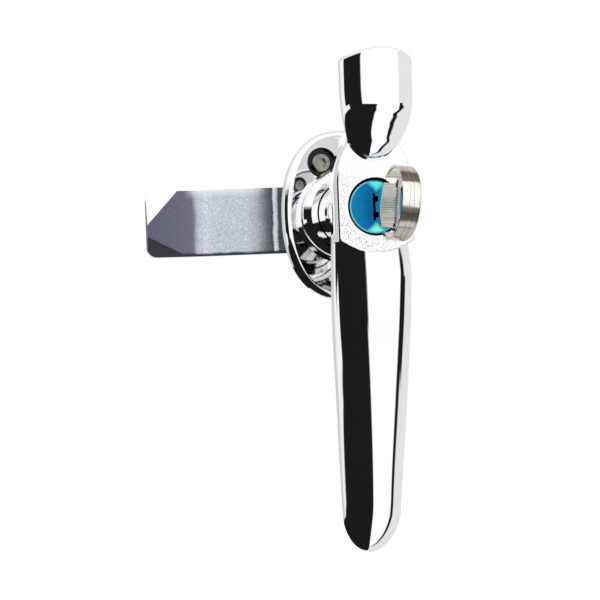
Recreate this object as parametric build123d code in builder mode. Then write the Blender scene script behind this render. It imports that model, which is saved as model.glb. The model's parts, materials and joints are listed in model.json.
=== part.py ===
from build123d import *
import os
from math import cos, sin, radians, sqrt, pi

os.makedirs("parts", exist_ok=True)

# ---------------------------------------------------------------- frame
# Millimetres. X to the right seen from the front, Z up, the outside of the
# door towards -Y. The origin is on the spindle axis, in the plane of the door
# skin that the base sits on. "h" is the height of a face above that plane.

# ---------------------------------------------------------------- driving dimensions
base_a, base_b, base_n = 21.3, 29.3, 2.25      # half width, half height, fullness of the oval
lip_h, face_h = 4.6, 3.3                       # lip crest and recessed face
lip_a, lip_b = 18.8, 26.8                      # inside of the lip
collar_r, collar_side_h = 16.2, 6.2
collar_top_r, collar_h = 13.55, 10.5
bore_r, ledge_h = 11.5, 2.6
boss_r, boss_back, bush_r = 10.7, -6.0, 9.2
stop_lug_r, stop_lug_back = 10.4, -8.8
screw_x, screw_z = 7.1, 18.3                    # screws at (-x, +z) and (+x, -z)
screw_head_r, screw_head_t, screw_r = 3.2, 2.2, 1.98
pocket_r, pocket_floor = 5.2, 1.0
screw_tip, shoulder_r, shoulder_back = -11.0, 2.5, -0.3
gasket_t = 0.6

hub_r, hub_bottom = 11.2, 4.0
journal_r, journal_end = 8.0, -6.6
head_h, head_back = 40.0, 30.5                 # front and back of the flat head
head_w, head_mid, head_b = 13.0, 7.0, 18.6     # half width, start and height of its rounded top
head_low_side, head_low_mid = -11.2, -15.1
core_bore_r, core_floor = 9.6, 14.6
drive_hole_r = 4.0
plug_face_h, plug_face_t, plug_face_r = 38.25, 3.0, 9.2
plug_r, housing_bore_r = 7.0, 7.05
housing_front, housing_back = 35.0, 18.0
clip_lo, clip_hi = 17.0, 17.8
throw = 2.2                                    # eccentric of the plug, travel of the bolt
bolt_lo, bolt_hi, bolt_w = 5.0, 7.6, 4.6
oring_h, oring_r, oring_sec = 9.1, 10.65, 0.75
wafer_t, wafer_pitch, wafer_first, wafer_count = 0.8, 2.0, 25.0, 5

spindle_w = 8.0
stop_t = 2.0
cam_front, cam_t, cam_w = -16.0, 3.0, 11.6
cam_end, cam_bend_1, cam_bend_2, cam_offset = -63.5, -19.0, -46.0, 8.0

cap_tilt = 6.0                                 # hinge pin leans right at the top
cap_R, cap_wall, cap_roof = 12.1, 0.8, 0.7
pin_x, pin_up, pin_z = 5.8, 0.4, 4.9           # hinge pin from the core axis and above the head
cap_c, cap_rim, cap_top = -7.5, -4.65, 1.8     # closed, from the pin: centre, rim, outer face
pin_r, eye_r = 0.55, 0.9
lug_in, lug_out = 7.5, 8.5
ear_in, ear_out = 5.9, 7.2

# crest height, half width, dome height, thickness of the bar at each z
horn = [(14.8, 40.4, 1.8, 0.4, 2.4), (15.4, 41.6, 3.5, 1.6, 3.6), (16.5, 43.1, 5.2, 3.1, 5.1), (18.0, 44.6, 6.7, 4.6, 6.6),
        (20.0, 46.3, 8.2, 6.3, 8.3), (21.2, 47.1, 8.9, 7.1, 9.1), (22.6, 48.1, 9.5, 6.7, 7.5), (25.0, 49.8, 10.4, 7.4, 8.2),
        (29.0, 52.2, 11.5, 8.7, 9.5), (33.0, 53.4, 12.1, 9.4, 10.2), (38.0, 54.0, 12.3, 9.9, 10.7), (44.0, 54.6, 12.3, 10.4, 11.2),
        (52.0, 55.1, 12.3, 10.7, 11.5)]
grip = [(-9.0, 39.2, 12.85, 7.0, 9.4), (-15.0, 39.0, 12.9, 7.2, 10.0), (-34.0, 37.5, 12.85, 8.0, 11.0),
        (-64.0, 34.5, 11.4, 9.0, 11.2), (-97.0, 30.0, 9.6, 9.2, 11.1)]
tip = [(-97.0, 30.0, 9.6, 9.2, 11.1), (-101.0, 29.0, 9.3, 8.9, 10.5), (-106.0, 27.5, 8.6, 7.8, 9.1),
       (-110.0, 25.4, 7.2, 5.6, 6.9), (-113.0, 22.6, 4.6, 3.0, 4.1), (-114.5, 20.6, 2.2, 1.2, 2.1)]


def P(h):
    "plane parallel to the door at height h, local x = X, local y = Z, normal outwards"
    return Plane.XZ.offset(h)


def oval(a, b, n=base_n, count=40):
    pts = []
    for i in range(count):
        t = 2 * pi * (i + 0.5) / count
        c, s = cos(t), sin(t)
        pts.append((a * (1 if c >= 0 else -1) * abs(c) ** (2 / n), b * (1 if s >= 0 else -1) * abs(s) ** (2 / n)))
    return pts


def at(r, deg):
    return (r * cos(radians(deg)), r * sin(radians(deg)))


# hinge frame of the dust cap: e1 across, e2 along the pin, e3 outwards
e1 = Vector(cos(radians(cap_tilt)), 0, -sin(radians(cap_tilt)))
e2 = Vector(sin(radians(cap_tilt)), 0, cos(radians(cap_tilt)))
e3 = Vector(0, -1, 0)
pin_at = e1 * pin_x + e2 * pin_up + e3 * (head_h + pin_z)


def lug_plane(dy):
    "section across the pin at dy along it: local x = e1, local y = outwards, normal -e2"
    return Plane(origin=pin_at + e2 * dy, x_dir=e1, z_dir=-e2)


def cap_plane(dz):
    "plane parallel to the rim of the cap as it stands open: local x, y as on the closed cap"
    return Plane(origin=pin_at + e1 * dz, x_dir=-e3, z_dir=e1)


def cap_section(dy):
    "section across the pin in the coordinates of the closed cap, as it stands open"
    return Plane(origin=pin_at + e2 * dy, x_dir=-e3, z_dir=-e2)


def save(builder, name):
    builder.part.label = name
    export_step(builder.part, "parts/" + name + ".step")


# ---------------------------------------------------------------- base
with BuildPart() as base:
    with BuildSketch(P(0)):
        with BuildLine():
            Spline(*oval(base_a, base_b), periodic=True)
        make_face()
    extrude(amount=lip_h)
    fillet(base.faces().sort_by(Axis.Y)[0].edges(), radius=2.2)
    # recessed face inside the lip
    with BuildSketch(P(face_h)):
        with BuildLine():
            Spline(*oval(lip_a, lip_b), periodic=True)
        make_face()
    extrude(amount=6, mode=Mode.SUBTRACT)
    # screw pockets
    with BuildSketch(P(pocket_floor)):
        with Locations((-screw_x, screw_z), (screw_x, -screw_z)):
            Circle(pocket_r)
    extrude(amount=2.9, mode=Mode.SUBTRACT)
    # round collar with a rounded shoulder
    with BuildSketch(Plane.XY):
        with BuildLine():
            Line((0, -0.3), (collar_r, -0.3))
            Line((collar_r, -0.3), (collar_r, -collar_side_h))
            ThreePointArc((collar_r, -collar_side_h), (15.25, -8.75), (collar_top_r, -collar_h))
            Line((collar_top_r, -collar_h), (0, -collar_h))
            Line((0, -collar_h), (0, -0.3))
        make_face()
    revolve(axis=Axis.Y)
    # locating boss behind the door plane
    with BuildSketch(P(boss_back)):
        Circle(boss_r)
    extrude(amount=-boss_back + 0.3)
    # stop lug behind the boss, open where the tooth of the stop washer travels
    with BuildSketch(P(stop_lug_back)):
        Circle(stop_lug_r)
        Circle(9.5, mode=Mode.SUBTRACT)
        Polygon((0, 0), at(20, 31), at(20, 60), at(20, 90), at(20, 120), at(20, 149), align=None, mode=Mode.SUBTRACT)
    extrude(amount=boss_back - stop_lug_back + 0.1)
    # bore for the hub, bore for the bush
    with BuildSketch(P(ledge_h)):
        Circle(bore_r)
    extrude(amount=12, mode=Mode.SUBTRACT)
    with BuildSketch(P(boss_back)):
        Circle(bush_r)
    extrude(amount=10, mode=Mode.SUBTRACT)
    # pockets in the collar for the locking bolt, at the closed and at the open position
    with BuildSketch(P(bolt_lo - 0.3)):
        with Locations((0, -9.9)):
            Rectangle(10.0, 7.6)
        with Locations((9.9, 0)):
            Rectangle(7.6, 10.0)
    extrude(amount=bolt_hi - bolt_lo + 0.6, mode=Mode.SUBTRACT)
    # through holes for the screws
    with BuildSketch(P(-1)):
        with Locations((-screw_x, screw_z), (screw_x, -screw_z)):
            Circle(2.6)
    extrude(amount=3, mode=Mode.SUBTRACT)
    # gasket groove in the back
    with BuildSketch(P(0)):
        with BuildLine():
            Spline(*oval(19.4, 27.4), periodic=True)
        make_face()
        with BuildLine():
            Spline(*oval(17.8, 25.8), periodic=True)
        make_face(mode=Mode.SUBTRACT)
    extrude(amount=gasket_t, mode=Mode.SUBTRACT)
save(base, "base")

with BuildPart() as base_gasket:
    with BuildSketch(P(0)):
        with BuildLine():
            Spline(*oval(19.4, 27.4), periodic=True)
        make_face()
        with BuildLine():
            Spline(*oval(17.8, 25.8), periodic=True)
        make_face(mode=Mode.SUBTRACT)
    extrude(amount=gasket_t)
save(base_gasket, "base_gasket")

with BuildPart() as base_screws:
    with BuildSketch(P(pocket_floor)):
        with Locations((-screw_x, screw_z), (screw_x, -screw_z)):
            Circle(screw_head_r)
    extrude(amount=screw_head_t)
    chamfer(base_screws.faces().sort_by(Axis.Y)[0:2].edges(), length=0.3)
    with BuildSketch(P(pocket_floor + screw_head_t - 1.3)):
        with Locations((-screw_x, screw_z), (screw_x, -screw_z)):
            RegularPolygon(radius=1.5, side_count=6, major_radius=False)
    extrude(amount=2, mode=Mode.SUBTRACT)
    # shank: fitted shoulder inside the base, thread behind it
    with BuildSketch(P(shoulder_back)):
        with Locations((-screw_x, screw_z), (screw_x, -screw_z)):
            Circle(shoulder_r)
    extrude(amount=pocket_floor - shoulder_back)
    with BuildSketch(P(screw_tip)):
        with Locations((-screw_x, screw_z), (screw_x, -screw_z)):
            Circle(screw_r)
    extrude(amount=shoulder_back - screw_tip)
save(base_screws, "base_screws")

# ---------------------------------------------------------------- bearing
with BuildPart() as bearing_bush:
    with BuildSketch(P(boss_back)):
        Circle(bush_r)
    extrude(amount=ledge_h - boss_back)
    with BuildSketch(P(ledge_h)):
        Circle(11.1)
    extrude(amount=0.8)
    with BuildSketch(P(boss_back)):
        Circle(journal_r + 0.05)
    extrude(amount=12, mode=Mode.SUBTRACT)
save(bearing_bush, "bearing_bush")

with BuildPart() as wave_washer:
    with BuildSketch(P(ledge_h + 0.8)):
        Circle(10.9)
        Circle(8.5, mode=Mode.SUBTRACT)
        with Locations((0, 9.7)):
            Rectangle(1.2, 4, mode=Mode.SUBTRACT)
    extrude(amount=0.5)
save(wave_washer, "wave_washer")

with BuildPart() as thrust_washer:
    with BuildSketch(P(boss_back - 0.5)):
        Circle(9.3)
        Circle(8.3, mode=Mode.SUBTRACT)
    extrude(amount=0.5)
save(thrust_washer, "thrust_washer")

# ---------------------------------------------------------------- handle
with BuildPart() as handle:
    # flat head
    with BuildSketch(P(head_back)):
        with BuildLine():
            Line((-head_w, head_low_side), (-head_w, head_mid))
            EllipticalCenterArc((0, head_mid), head_w, head_b, start_angle=0, arc_size=180)
            Line((head_w, head_mid), (head_w, head_low_side))
            ThreePointArc((head_w, head_low_side), (0, head_low_mid), (-head_w, head_low_side))
        make_face()
    extrude(amount=head_h - head_back)
    fillet(handle.faces().sort_by(Axis.Y)[0].edges(), radius=0.5)
    # horn above the head: half-round bar with a rounded lower end on the head
    for z, hc, w, dome, thick in horn:
        with BuildSketch(Plane.XY.offset(z)):
            with BuildLine():
                EllipticalCenterArc((0, -(hc - dome)), w, dome, start_angle=180, arc_size=180)
                Line((w, -(hc - dome)), (w, -(hc - thick)))
                Line((w, -(hc - thick)), (-w, -(hc - thick)))
                Line((-w, -(hc - thick)), (-w, -(hc - dome)))
            make_face()
    loft(ruled=True)
    with BuildSketch(P(20)):
        with BuildLine():
            Line((-15, 46.2), (-15, 65))
            Line((-15, 65), (15, 65))
            Line((15, 65), (15, 46.2))
            ThreePointArc((15, 46.2), (0, 50.4), (-15, 46.2))
        make_face()
    extrude(amount=60, mode=Mode.SUBTRACT)
    # grip below the head
    for z, hc, w, dome, thick in grip:
        with BuildSketch(Plane.XY.offset(z)):
            with BuildLine():
                EllipticalCenterArc((0, -(hc - dome)), w, dome, start_angle=180, arc_size=180)
                Line((w, -(hc - dome)), (w, -(hc - thick)))
                Line((w, -(hc - thick)), (-w, -(hc - thick)))
                Line((-w, -(hc - thick)), (-w, -(hc - dome)))
            make_face()
    loft()
    for z, hc, w, dome, thick in tip:
        with BuildSketch(Plane.XY.offset(z)):
            with BuildLine():
                EllipticalCenterArc((0, -(hc - dome)), w, dome, start_angle=180, arc_size=180)
                Line((w, -(hc - dome)), (w, -(hc - thick)))
                Line((w, -(hc - thick)), (-w, -(hc - thick)))
                Line((-w, -(hc - thick)), (-w, -(hc - dome)))
            make_face()
    loft(ruled=True)
    # hub and journal
    with BuildSketch(P(hub_bottom)):
        Circle(hub_r)
    extrude(amount=head_back + 2 - hub_bottom)
    with BuildSketch(P(journal_end)):
        Circle(journal_r)
    extrude(amount=hub_bottom - journal_end)
    # bore for the lock core and hole for its drive pin
    with BuildSketch(P(core_floor)):
        Circle(core_bore_r)
    extrude(amount=60, mode=Mode.SUBTRACT)
    with BuildSketch(P(bolt_lo)):
        Circle(drive_hole_r)
    extrude(amount=core_floor - bolt_lo, mode=Mode.SUBTRACT)
    # channel for the locking bolt
    with BuildSketch(P(bolt_lo - 0.2)):
        with Locations((0, (-12.0 + 5.8) / 2)):
            Rectangle(2 * (bolt_w + 0.15), 17.8)
    extrude(amount=bolt_hi - bolt_lo + 0.4, mode=Mode.SUBTRACT)
    # groove for the neck seal
    with BuildSketch(P(oring_h - 0.8)):
        Circle(hub_r + 1)
        Circle(oring_r - oring_sec, mode=Mode.SUBTRACT)
    extrude(amount=1.6, mode=Mode.SUBTRACT)
    # square socket for the spindle
    with BuildSketch(P(journal_end)):
        Rectangle(spindle_w, spindle_w)
    extrude(amount=-1.0 - journal_end, mode=Mode.SUBTRACT)
    # threaded hole for the grub screw
    with BuildSketch(Plane.XY.offset(-12)):
        with Locations((0, -24)):
            Circle(1.5)
    extrude(amount=4, mode=Mode.SUBTRACT)
    # hollow beside the core where the edge of the cap swings
    with BuildSketch(lug_plane(8.9)):
        Circle(6.4)
    extrude(amount=17.8, mode=Mode.SUBTRACT)
    # two lugs that hold the hinge pin
    for top in (lug_out, -lug_in):
        with BuildSketch(lug_plane(top)):
            Circle(eye_r)
            Polygon((0.75, -7.0), (2.1, -7.0), (0.88, 0.1), (-0.88, 0.1), align=None)
            Circle(pin_r, mode=Mode.SUBTRACT)
        extrude(amount=lug_out - lug_in)
save(handle, "handle")

with BuildPart() as neck_o_ring:
    with BuildSketch(Plane.XY):
        with Locations((oring_r, -oring_h)):
            Circle(oring_sec)
    revolve(axis=Axis.Y)
save(neck_o_ring, "neck_o_ring")

# ---------------------------------------------------------------- lock core
with BuildPart() as cylinder_housing:
    with BuildSketch(P(housing_back)):
        Circle(core_bore_r)
        Circle(housing_bore_r, mode=Mode.SUBTRACT)
    extrude(amount=housing_front - housing_back)
    with BuildSketch(Plane.XY.offset(-12)):
        with Locations((0, -24)):
            Circle(1.5)
    extrude(amount=3.8, mode=Mode.SUBTRACT)
save(cylinder_housing, "cylinder_housing")

with BuildPart() as housing_set_screw:
    with BuildSketch(Plane.XY.offset(-11.0)):
        with Locations((0, -24)):
            Circle(1.5)
            RegularPolygon(radius=0.75, side_count=6, major_radius=False, mode=Mode.SUBTRACT)
    extrude(amount=1.4)
    with BuildSketch(Plane.XY.offset(-9.6)):
        with Locations((0, -24)):
            Circle(1.5)
    extrude(amount=1.4)
save(housing_set_screw, "housing_set_screw")

with BuildPart() as cylinder_plug:
    with BuildSketch(P(plug_face_h - plug_face_t)):
        Circle(plug_face_r)
    extrude(amount=plug_face_t)
    chamfer(cylinder_plug.faces().sort_by(Axis.Y)[0].edges(), length=0.6)
    with BuildSketch(P(15.0)):
        Circle(6.5)
    extrude(amount=2.5)
    with BuildSketch(P(clip_lo)):
        Circle(plug_r)
    extrude(amount=plug_face_h - plug_face_t - clip_lo)
    with BuildSketch(P(clip_lo)):
        Circle(plug_r + 1)
        Circle(5.2, mode=Mode.SUBTRACT)
    extrude(amount=clip_hi - clip_lo, mode=Mode.SUBTRACT)
    # eccentric drive pin
    with BuildSketch(P(bolt_lo + 0.3)):
        with Locations((-throw, 0)):
            Circle(1.1)
    extrude(amount=15.2 - bolt_lo - 0.3)
    # keyway with two side wards
    with BuildSketch(P(23.4)):
        Rectangle(0.9, 8.8)
        with Locations((0.5, 2.6), (0.5, -2.6)):
            Rectangle(1.9, 1.9)
    extrude(amount=20, mode=Mode.SUBTRACT)
    # slots for the wafers and their springs
    for i in range(wafer_count):
        with BuildSketch(P(wafer_first + i * wafer_pitch - 0.05)):
            Rectangle(6.1, 16)
            with Locations((3.75, -0.6)):
                Rectangle(1.7, 3.8)
        extrude(amount=wafer_t + 0.1, mode=Mode.SUBTRACT)
save(cylinder_plug, "cylinder_plug")

with BuildPart() as wafers:
    for i in range(wafer_count):
        with BuildSketch(P(wafer_first + i * wafer_pitch)):
            Rectangle(6.0, 12.4)
            with Locations((3.4, 0.8)):
                Rectangle(1.8, 0.8)
            Rectangle(3.6, 9.0, mode=Mode.SUBTRACT)
        extrude(amount=wafer_t)
save(wafers, "wafers")

with BuildPart() as wafer_springs:
    for i in range(wafer_count):
        with BuildSketch(Plane.XY.offset(-2.5)):
            with Locations((3.8, -(wafer_first + i * wafer_pitch + wafer_t / 2))):
                Circle(0.4)
                Circle(0.2, mode=Mode.SUBTRACT)
        extrude(amount=2.9)
save(wafer_springs, "wafer_springs")

with BuildPart() as plug_clip:
    with BuildSketch(P(clip_lo)):
        Circle(8.2)
        Circle(5.2, mode=Mode.SUBTRACT)
        with Locations((0, 6)):
            Rectangle(3.4, 8, mode=Mode.SUBTRACT)
    extrude(amount=clip_hi - clip_lo)
save(plug_clip, "plug_clip")

with BuildPart() as locking_bolt:
    with BuildSketch(P(bolt_lo)):
        with Locations((0, (-12.0 + 5.5) / 2)):
            Rectangle(2 * bolt_w, 17.5)
        Circle(hub_r - 0.1, mode=Mode.INTERSECT)
        with Locations((-1.1, 0)):
            Rectangle(4.8, 3.4, mode=Mode.SUBTRACT)
    extrude(amount=bolt_hi - bolt_lo)
save(locking_bolt, "locking_bolt")

# ---------------------------------------------------------------- drive behind the door
with BuildPart() as spindle:
    with BuildSketch(P(-18.8)):
        Rectangle(spindle_w, spindle_w)
    extrude(amount=17.8)
    with BuildSketch(P(-18.8)):
        Circle(3.0)
    extrude(amount=10.9, mode=Mode.SUBTRACT)
save(spindle, "spindle")

with BuildPart() as stop_washer:
    with BuildSketch(P(journal_end - stop_t)):
        Circle(9.1)
        Polygon((0, 0), at(10.1, 33.5), at(10.25, 45), at(10.1, 56.5), align=None)
        Rectangle(spindle_w, spindle_w, mode=Mode.SUBTRACT)
    extrude(amount=stop_t)
save(stop_washer, "stop_washer")

with BuildPart() as cam_spacer:
    with BuildSketch(P(cam_front)):
        Circle(8.0)
        Circle(5.75, mode=Mode.SUBTRACT)
    extrude(amount=journal_end - stop_t - cam_front)
save(cam_spacer, "cam_spacer")

with BuildPart() as cam:
    with BuildSketch(Plane.XY.offset(-cam_w)):
        with BuildLine():
            Polyline((14, -cam_front), (cam_bend_1, -cam_front), (cam_bend_2, -cam_front + cam_offset),
                     (cam_end, -cam_front + cam_offset), (cam_end, -cam_front + cam_offset + cam_t),
                     (cam_bend_2 - 0.45, -cam_front + cam_offset + cam_t), (cam_bend_1 - 0.45, -cam_front + cam_t),
                     (14, -cam_front + cam_t), (14, -cam_front))
        make_face()
    extrude(amount=2 * cam_w)
    with BuildSketch(P(-30)):
        with BuildLine():
            Line((0, cam_w), (cam_end + 3.5, cam_w))
            ThreePointArc((cam_end + 3.5, cam_w), (cam_end + 1.03, cam_w - 1.03), (cam_end, cam_w - 3.5))
            Line((cam_end, cam_w - 3.5), (cam_end, -cam_w + 3.5))
            ThreePointArc((cam_end, -cam_w + 3.5), (cam_end + 1.03, -cam_w + 1.03), (cam_end + 3.5, -cam_w))
            Line((cam_end + 3.5, -cam_w), (0, -cam_w))
            ThreePointArc((0, -cam_w), (cam_w, 0), (0, cam_w))
        make_face()
    extrude(amount=20, mode=Mode.INTERSECT)
    with BuildSketch(P(-30)):
        Rectangle(spindle_w + 0.1, spindle_w + 0.1)
    extrude(amount=20, mode=Mode.SUBTRACT)
    # lead-in ramps on the two corners of the end
    for x, z, out, slope in ((cam_end + 5.5, cam_w - 5.9, Vector(-11.8, 0, 11.0), 10.0),
                             (cam_end + 7.15, -cam_w + 3.65, Vector(-7.3, 0, -14.3), 9.0)):
        with BuildSketch(Plane(origin=(x, -cam_front + cam_offset, z), x_dir=out, z_dir=out.cross(Vector(0, 1, 0)))):
            Polygon((0, 0), (14, 14 * sin(radians(slope)) / cos(radians(slope))), (14, -6), (0, -6), align=None)
        extrude(amount=20, both=True, mode=Mode.SUBTRACT)
save(cam, "cam")

with BuildPart() as cam_washer:
    with BuildSketch(P(cam_front - cam_t - 1.4)):
        Circle(7.0)
        Circle(3.2, mode=Mode.SUBTRACT)
    extrude(amount=1.4)
save(cam_washer, "cam_washer")

with BuildPart() as cam_lock_washer:
    with BuildSketch(P(cam_front - cam_t - 3.0)):
        Circle(5.3)
        Circle(3.2, mode=Mode.SUBTRACT)
        with Locations((0, 4.5)):
            Rectangle(0.9, 4, mode=Mode.SUBTRACT)
    extrude(amount=1.6)
save(cam_lock_washer, "cam_lock_washer")

with BuildPart() as cam_screw:
    with BuildSketch(P(cam_front - cam_t - 7.0)):
        RegularPolygon(radius=5.0, side_count=6, major_radius=False)
    extrude(amount=4.0)
    with BuildSketch(P(cam_front - cam_t - 7.0)):
        Circle(5.5)
    extrude(amount=4.0, taper=-12, mode=Mode.INTERSECT)
    with BuildSketch(P(cam_front - cam_t - 3.2)):
        Circle(3.0)
    extrude(amount=13.8)
save(cam_screw, "cam_screw")

# ---------------------------------------------------------------- dust cap, standing open
with BuildPart() as dust_cap:
    with BuildSketch(cap_plane(cap_rim)):
        with Locations((cap_c, 0)):
            Circle(cap_R)
    extrude(amount=cap_top - cap_rim)
    fillet(dust_cap.edges().group_by(Axis(origin=(0, 0, 0), direction=tuple(e1)))[-1], radius=1.4)
    with BuildSketch(cap_plane(cap_rim)):
        with Locations((cap_c, 0)):
            Circle(cap_R - cap_wall)
    extrude(amount=cap_top - cap_roof - cap_rim, mode=Mode.SUBTRACT)
    # two grooves around the side wall
    for z in (-2.5, -1.0):
        with BuildSketch(cap_plane(z - 0.2)):
            with Locations((cap_c, 0)):
                Circle(cap_R + 1)
                Circle(cap_R - 0.3, mode=Mode.SUBTRACT)
        extrude(amount=0.4, mode=Mode.SUBTRACT)
    # relief of the rim on the hinge side
    with BuildSketch(cap_section(14)):
        Rectangle(9, 9, align=(Align.MIN, Align.MAX))
        Circle(6.1, mode=Mode.SUBTRACT)
    extrude(amount=28, mode=Mode.SUBTRACT)
    # slots for the lugs
    for top in (8.9, -7.25):
        with BuildSketch(cap_section(top)):
            with Locations((-1.2, 0)):
                Rectangle(9, 14, align=(Align.MIN, Align.CENTER))
        extrude(amount=1.65, mode=Mode.SUBTRACT)
    # ears on the pin
    for top in (ear_out, -ear_in):
        with BuildSketch(cap_section(top)):
            Circle(1.1)
            with Locations((0, 0.6)):
                Rectangle(2.2, 1.2)
        extrude(amount=ear_out - ear_in)
    with BuildSketch(cap_section(8.0)):
        Circle(pin_r + 0.05)
    extrude(amount=16, mode=Mode.SUBTRACT)
save(dust_cap, "dust_cap")

with BuildPart() as cap_hinge_pin:
    with BuildSketch(lug_plane(8.6)):
        Circle(pin_r)
    extrude(amount=17.2)
save(cap_hinge_pin, "cap_hinge_pin")

with BuildPart() as cap_spring:
    with BuildSketch(lug_plane(5.6)):
        Circle(0.85)
        Circle(0.6, mode=Mode.SUBTRACT)
    extrude(amount=11.2)
save(cap_spring, "cap_spring")
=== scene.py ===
import json
import math
import bpy
import bmesh
import numpy as np
from mathutils import Matrix, Vector


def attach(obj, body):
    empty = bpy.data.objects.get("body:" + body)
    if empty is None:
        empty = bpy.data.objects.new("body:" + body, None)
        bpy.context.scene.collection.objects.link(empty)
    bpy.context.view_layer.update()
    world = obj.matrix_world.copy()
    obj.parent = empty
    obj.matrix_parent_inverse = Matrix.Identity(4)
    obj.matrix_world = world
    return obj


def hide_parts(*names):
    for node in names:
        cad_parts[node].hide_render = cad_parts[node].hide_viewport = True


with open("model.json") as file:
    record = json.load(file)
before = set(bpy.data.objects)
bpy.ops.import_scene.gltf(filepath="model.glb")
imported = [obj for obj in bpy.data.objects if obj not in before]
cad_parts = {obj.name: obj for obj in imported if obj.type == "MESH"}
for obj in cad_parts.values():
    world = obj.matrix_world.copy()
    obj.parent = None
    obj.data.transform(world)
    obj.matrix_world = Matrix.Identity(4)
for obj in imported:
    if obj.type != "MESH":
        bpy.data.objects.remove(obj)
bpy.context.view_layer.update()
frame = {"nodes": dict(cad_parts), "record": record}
NODES = frame["nodes"]
MM = 0.001


# ------------------------------------------------------------------ node helpers
def new_mat(name):
    m = bpy.data.materials.new(name)
    m.use_nodes = True
    nt = m.node_tree
    nt.nodes.clear()
    out = nt.nodes.new("ShaderNodeOutputMaterial")
    b = nt.nodes.new("ShaderNodeBsdfPrincipled")
    nt.links.new(b.outputs[0], out.inputs[0])
    return m, nt, b


def node(nt, kind, **kw):
    n = nt.nodes.new(kind)
    for k, v in kw.items():
        setattr(n, k, v)
    return n


def coords(nt, scale=(1, 1, 1), rot=(0, 0, 0)):
    tc = node(nt, "ShaderNodeTexCoord")
    mp = node(nt, "ShaderNodeMapping")
    mp.inputs["Scale"].default_value = scale
    mp.inputs["Rotation"].default_value = rot
    nt.links.new(tc.outputs["Object"], mp.inputs["Vector"])
    return mp.outputs["Vector"]


def noise(nt, vec, scale, detail=3.0, rough=0.5):
    n = node(nt, "ShaderNodeTexNoise")
    n.inputs["Scale"].default_value = scale
    n.inputs["Detail"].default_value = detail
    n.inputs["Roughness"].default_value = rough
    nt.links.new(vec, n.inputs["Vector"])
    return n.outputs["Fac"]


def ramp(nt, fac, stops, interp="LINEAR"):
    r = node(nt, "ShaderNodeValToRGB")
    r.color_ramp.interpolation = interp
    el = r.color_ramp.elements
    while len(el) > 1:
        el.remove(el[-1])
    el[0].position = stops[0][0]
    el[0].color = (*stops[0][1], 1)
    for p, c in stops[1:]:
        e = el.new(p)
        e.color = (*c, 1)
    nt.links.new(fac, r.inputs["Fac"])
    return r.outputs["Color"]


def rng(nt, fac, lo, hi, a=0.0, b=1.0):
    m = node(nt, "ShaderNodeMapRange")
    m.inputs["From Min"].default_value = a
    m.inputs["From Max"].default_value = b
    m.inputs["To Min"].default_value = lo
    m.inputs["To Max"].default_value = hi
    nt.links.new(fac, m.inputs["Value"])
    return m.outputs["Result"]


def bump(nt, b, height, strength=0.3, dist=0.0001):
    n = node(nt, "ShaderNodeBump")
    n.inputs["Strength"].default_value = strength
    n.inputs["Distance"].default_value = dist
    nt.links.new(height, n.inputs["Height"])
    nt.links.new(n.outputs["Normal"], b.inputs["Normal"])
    return n


def g(v):
    return (v, v, v)


def srgb(r, gg, b):
    def f(c):
        c = c / 255.0
        return c / 12.92 if c <= 0.04045 else ((c + 0.055) / 1.055) ** 2.4
    return (f(r), f(gg), f(b))


# ------------------------------------------------------------------ materials
def dist_to(nt, vec, centre):
    """distance in the X-Z plane from a centre given in mm"""
    sub = node(nt, "ShaderNodeVectorMath", operation="SUBTRACT")
    nt.links.new(vec, sub.inputs[0])
    sub.inputs[1].default_value = (centre[0] * MM, 0, centre[1] * MM)
    flat = node(nt, "ShaderNodeVectorMath", operation="MULTIPLY")
    nt.links.new(sub.outputs[0], flat.inputs[0])
    flat.inputs[1].default_value = (1, 0, 1)
    ln = node(nt, "ShaderNodeVectorMath", operation="LENGTH")
    nt.links.new(flat.outputs[0], ln.inputs[0])
    return ln.outputs["Value"]


def math2(nt, op, a, b):
    n = node(nt, "ShaderNodeMath", operation=op)
    for k, v in enumerate((a, b)):
        if isinstance(v, (int, float)):
            n.inputs[k].default_value = v
        else:
            nt.links.new(v, n.inputs[k])
    return n.outputs[0]


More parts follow.
